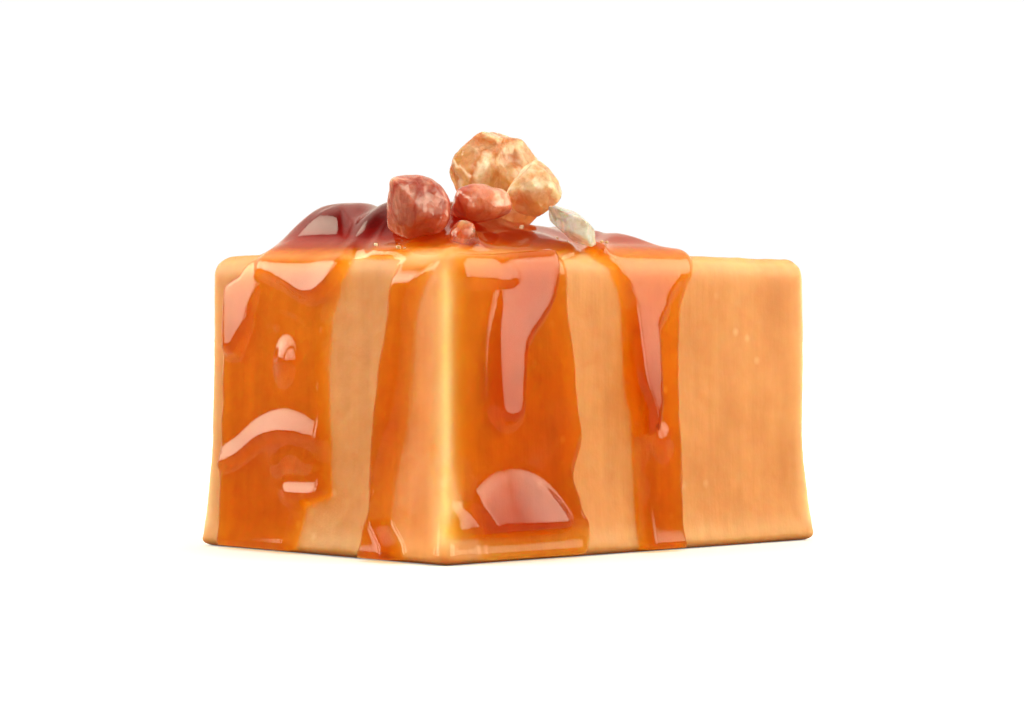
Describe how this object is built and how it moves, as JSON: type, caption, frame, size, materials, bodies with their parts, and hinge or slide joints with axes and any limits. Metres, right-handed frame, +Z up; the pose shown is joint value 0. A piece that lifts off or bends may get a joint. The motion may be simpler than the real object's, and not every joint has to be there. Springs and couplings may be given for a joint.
{
  "type": "caramel candy",
  "caption": "Soft caramel block with rounded edges under a poured, glossy caramel sauce that runs down its sides, topped with coarse salt crystals.",
  "frame": {"origin": "middle of the block's flat base", "axes": "+Z up; the block's long side runs along X, and the salt lies towards -X and -Y"},
  "size_m": [0.0312, 0.0235, 0.0234],
  "materials": {
    "caramel": "soft, slightly waxy caramel with faint cut marks",
    "sauce": "clear glossy caramel sauce",
    "salt": "frosted translucent salt, tinted by the sauce"
  },
  "bodies": {
    "root": {"caramel_block": "caramel", "caramel_sauce": "sauce", "salt_crystal_1": "salt", "salt_crystal_2": "salt", "salt_crystal_3": "salt", "salt_crystal_4": "salt", "salt_crystal_5": "salt", "salt_crystal_6": "salt"}
  },
  "joints": []
}
